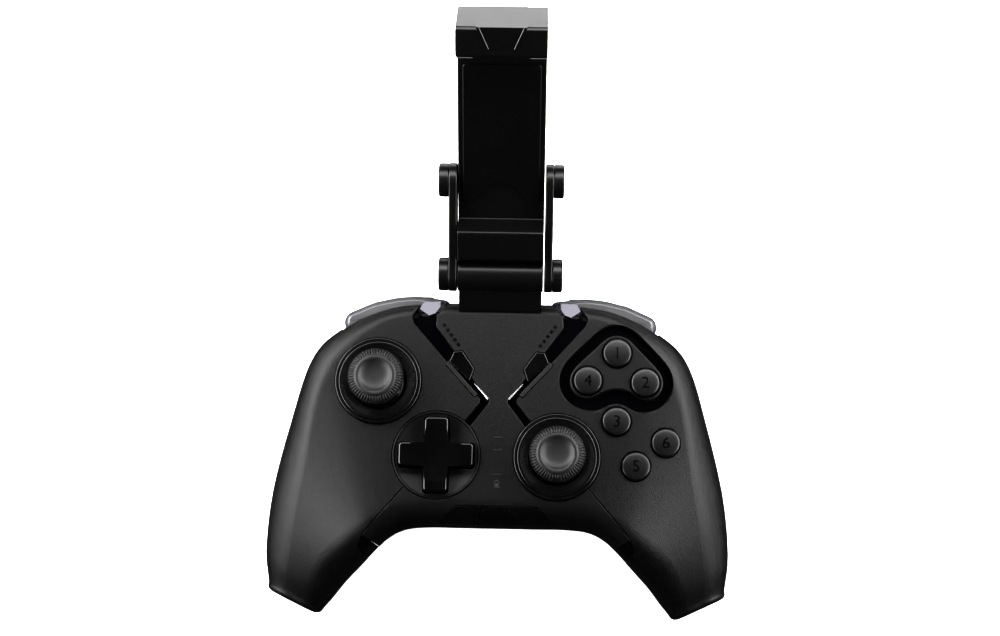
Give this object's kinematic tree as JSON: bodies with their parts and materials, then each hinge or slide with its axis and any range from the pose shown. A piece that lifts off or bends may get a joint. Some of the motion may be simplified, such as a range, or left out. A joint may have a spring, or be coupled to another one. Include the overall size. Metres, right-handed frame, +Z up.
{
  "type": "gamepad",
  "caption": "Two-stick gamepad with a cross pad, round face buttons, bumpers and triggers, and a folding spring clamp that holds a phone above the rear edge.",
  "frame": {"origin": "on the flat underside of the battery bulge that the pad rests on, in the middle of its width", "axes": "+X to the right of the player, +Y to the rear, towards the phone holder, +Z up out of the face"},
  "size_m": [0.1566, 0.1872, 0.1101],
  "materials": {
    "casing_matte": "matt black moulded plastic with a fine speckled grain",
    "gloss_black": "polished piano black plastic",
    "button_satin": "satin dark grey moulded plastic",
    "stick_rubber": "dark grey soft rubber",
    "bumper_gunmetal": "smooth plastic with a gunmetal metallic coat",
    "trigger_satin": "satin black plastic",
    "holder_satin": "satin black plastic with smooth edges",
    "pad_rubber": "thin black rubber with a fine texture",
    "board_green": "green solder mask on glass fibre",
    "membrane_grey": "pale grey silicone",
    "battery_wrap": "dark blue shrink wrap",
    "steel": "bright nickel-plated steel",
    "weight_brass": "turned brass",
    "light_clear": "translucent white plastic",
    "inner_plastic": "plain dark moulded plastic"
  },
  "bodies": {
    "pad": {"battery": "battery_wrap", "bottom_casing": "casing_matte", "button_island": "casing_matte", "case_screws": "steel", "centre_face_panel": "casing_matte", "charging_port": "steel", "dpad_disc": "casing_matte", "edge_trims": "gloss_black", "grip_inserts": "gloss_black", "hinge_pins": "steel", "holder_base": "holder_satin", "inner_chassis": "gloss_black", "key_membranes": "membrane_grey", "left_face_panel": "casing_matte", "left_stick_module": "inner_plastic", "left_stick_ring": "gloss_black", "light_guides": "light_clear", "main_board": "board_green", "right_face_panel": "casing_matte", "right_stick_module": "inner_plastic", "right_stick_ring": "gloss_black", "rumble_motors": "steel", "trigger_springs": "steel"},
    "links": {"left_link": "holder_satin", "right_link": "holder_satin", "lower_pivot_bolts": "holder_satin", "upper_pivot_bolts": "holder_satin"},
    "clamp": {"clamp_body": "holder_satin", "clamp_pad": "pad_rubber"},
    "jaw": {"upper_jaw": "holder_satin"},
    "left_stick_frame": {"left_stick_gimbal": "inner_plastic"},
    "left_stick_core": {"left_stick_cradle": "inner_plastic"},
    "left_stick": {"left_stick_post": "gloss_black", "left_stick_cap": "stick_rubber"},
    "right_stick_frame": {"right_stick_gimbal": "inner_plastic"},
    "right_stick_core": {"right_stick_cradle": "inner_plastic"},
    "right_stick": {"right_stick_post": "gloss_black", "right_stick_cap": "stick_rubber"},
    "left_trigger": {"left_trigger": "trigger_satin"},
    "right_trigger": {"right_trigger": "trigger_satin"},
    "left_bumper": {"left_bumper": "bumper_gunmetal"},
    "right_bumper": {"right_bumper": "bumper_gunmetal"},
    "dpad_frame": {"dpad_gimbal": "inner_plastic"},
    "dpad": {"dpad_cross": "gloss_black"},
    "button_1": {"button_1": "button_satin"},
    "button_2": {"button_2": "button_satin"},
    "button_3": {"button_3": "button_satin"},
    "button_4": {"button_4": "button_satin"},
    "button_5": {"button_5": "button_satin"},
    "button_6": {"button_6": "button_satin"},
    "select_button": {"select_button": "gloss_black"},
    "start_button": {"start_button": "gloss_black"},
    "menu_button_left": {"menu_button_left": "button_satin"},
    "menu_button_middle": {"menu_button_middle": "button_satin"},
    "menu_button_right": {"menu_button_right": "button_satin"},
    "left_rear_key": {"left_rear_key": "button_satin"},
    "right_rear_key": {"right_rear_key": "button_satin"},
    "mode_switch": {"mode_switch": "button_satin"},
    "left_rumble_weight": {"left_rumble_weight": "weight_brass"},
    "right_rumble_weight": {"right_rumble_weight": "weight_brass"}
  },
  "joints": [
    {"name": "holder_fold", "type": "hinge", "parent": "pad", "child": "links", "pos_m": [0, 0.0464, 0.048], "axis": [1, 0, 0], "range_deg": [-25, 90]},
    {"name": "clamp_tilt", "type": "hinge", "parent": "links", "child": "clamp", "pos_m": [0, 0.07495, 0.06131], "axis": [1, 0, 0], "range_deg": [-40, 50]},
    {"name": "jaw_slide", "type": "slide", "parent": "clamp", "child": "jaw", "axis": [0, 0.766, 0.6428], "range_m": [0, 0.028], "stiffness_N_per_m": 120, "springref_m": -0.02},
    {"name": "left_stick_forward", "type": "hinge", "parent": "pad", "child": "left_stick_frame", "pos_m": [-0.0398, 0.0112, 0.0325], "axis": [1, 0, 0], "range_deg": [-17, 17], "stiffness_Nm_per_rad": 0.06},
    {"name": "left_stick_sideways", "type": "hinge", "parent": "left_stick_frame", "child": "left_stick_core", "pos_m": [-0.0398, 0.0112, 0.0325], "axis": [0, 1, 0], "range_deg": [-17, 17], "stiffness_Nm_per_rad": 0.06},
    {"name": "left_stick_press", "type": "slide", "parent": "left_stick_core", "child": "left_stick", "axis": [0, 0, -1], "range_m": [0, 0.0006], "stiffness_N_per_m": 3000, "springref_m": -0.0003},
    {"name": "right_stick_forward", "type": "hinge", "parent": "pad", "child": "right_stick_frame", "pos_m": [0.0196, -0.013, 0.0325], "axis": [1, 0, 0], "range_deg": [-17, 17], "stiffness_Nm_per_rad": 0.06},
    {"name": "right_stick_sideways", "type": "hinge", "parent": "right_stick_frame", "child": "right_stick_core", "pos_m": [0.0196, -0.013, 0.0325], "axis": [0, 1, 0], "range_deg": [-17, 17], "stiffness_Nm_per_rad": 0.06},
    {"name": "right_stick_press", "type": "slide", "parent": "right_stick_core", "child": "right_stick", "axis": [0, 0, -1], "range_m": [0, 0.0006], "stiffness_N_per_m": 3000, "springref_m": -0.0003},
    {"name": "left_trigger_pull", "type": "hinge", "parent": "pad", "child": "left_trigger", "pos_m": [0, 0.025, 0.0195], "axis": [-1, 0, 0], "range_deg": [0, 16], "stiffness_Nm_per_rad": 0.15, "springref_deg": -11.46},
    {"name": "right_trigger_pull", "type": "hinge", "parent": "pad", "child": "right_trigger", "pos_m": [0, 0.025, 0.0195], "axis": [-1, 0, 0], "range_deg": [0, 16], "stiffness_Nm_per_rad": 0.15, "springref_deg": -11.46},
    {"name": "left_bumper_press", "type": "hinge", "parent": "pad", "child": "left_bumper", "pos_m": [-0.0195, 0.0335, 0.03], "axis": [0, 0, 1], "range_deg": [0, 2.4], "stiffness_Nm_per_rad": 1.2, "springref_deg": -1.15},
    {"name": "right_bumper_press", "type": "hinge", "parent": "pad", "child": "right_bumper", "pos_m": [0.0195, 0.0335, 0.03], "axis": [0, 0, -1], "range_deg": [0, 2.4], "stiffness_Nm_per_rad": 1.2, "springref_deg": -1.15},
    {"name": "dpad_forward", "type": "hinge", "parent": "pad", "child": "dpad_frame", "pos_m": [-0.02, -0.013, 0.0365], "axis": [1, 0, 0], "range_deg": [-4, 4], "stiffness_Nm_per_rad": 0.2},
    {"name": "dpad_sideways", "type": "hinge", "parent": "dpad_frame", "child": "dpad", "pos_m": [-0.02, -0.013, 0.0365], "axis": [0, 1, 0], "range_deg": [-4, 4], "stiffness_Nm_per_rad": 0.2},
    {"name": "button_1_press", "type": "slide", "parent": "pad", "child": "button_1", "axis": [0, 0, -1], "range_m": [0, 0.0012], "stiffness_N_per_m": 1000, "springref_m": -0.0003},
    {"name": "button_2_press", "type": "slide", "parent": "pad", "child": "button_2", "axis": [0, 0, -1], "range_m": [0, 0.0012], "stiffness_N_per_m": 1000, "springref_m": -0.0003},
    {"name": "button_3_press", "type": "slide", "parent": "pad", "child": "button_3", "axis": [0, 0, -1], "range_m": [0, 0.0012], "stiffness_N_per_m": 1000, "springref_m": -0.0003},
    {"name": "button_4_press", "type": "slide", "parent": "pad", "child": "button_4", "axis": [0, 0, -1], "range_m": [0, 0.0012], "stiffness_N_per_m": 1000, "springref_m": -0.0003},
    {"name": "button_5_press", "type": "slide", "parent": "pad", "child": "button_5", "axis": [0, 0, -1], "range_m": [0, 0.0012], "stiffness_N_per_m": 1000, "springref_m": -0.0003},
    {"name": "button_6_press", "type": "slide", "parent": "pad", "child": "button_6", "axis": [0, 0, -1], "range_m": [0, 0.0012], "stiffness_N_per_m": 1000, "springref_m": -0.0003},
    {"name": "select_button_press", "type": "slide", "parent": "pad", "child": "select_button", "axis": [0, 0, -1], "range_m": [0, 0.001], "stiffness_N_per_m": 1200, "springref_m": -0.0003},
    {"name": "start_button_press", "type": "slide", "parent": "pad", "child": "start_button", "axis": [0, 0, -1], "range_m": [0, 0.001], "stiffness_N_per_m": 1200, "springref_m": -0.0003},
    {"name": "menu_button_left_press", "type": "slide", "parent": "pad", "child": "menu_button_left", "axis": [0, 0, -1], "range_m": [0, 0.0008], "stiffness_N_per_m": 1200, "springref_m": -0.0003},
    {"name": "menu_button_middle_press", "type": "slide", "parent": "pad", "child": "menu_button_middle", "axis": [0, 0, -1], "range_m": [0, 0.0008], "stiffness_N_per_m": 1200, "springref_m": -0.0003},
    {"name": "menu_button_right_press", "type": "slide", "parent": "pad", "child": "menu_button_right", "axis": [0, 0, -1], "range_m": [0, 0.0008], "stiffness_N_per_m": 1200, "springref_m": -0.0003},
    {"name": "left_rear_key_press", "type": "slide", "parent": "pad", "child": "left_rear_key", "axis": [0, 0, 1], "range_m": [0, 0.0008], "stiffness_N_per_m": 1200, "springref_m": -0.0003},
    {"name": "right_rear_key_press", "type": "slide", "parent": "pad", "child": "right_rear_key", "axis": [0, 0, 1], "range_m": [0, 0.0008], "stiffness_N_per_m": 1200, "springref_m": -0.0003},
    {"name": "mode_switch_slide", "type": "slide", "parent": "pad", "child": "mode_switch", "axis": [1, 0, 0], "range_m": [-0.0028, 0.0028]},
    {"name": "left_rumble_spin", "type": "hinge", "parent": "pad", "child": "left_rumble_weight", "pos_m": [-0.067, -0.035, 0.0155], "axis": [1, 0, 0], "continuous": true},
    {"name": "right_rumble_spin", "type": "hinge", "parent": "pad", "child": "right_rumble_weight", "pos_m": [0.067, -0.035, 0.0155], "axis": [1, 0, 0], "continuous": true}
  ]
}
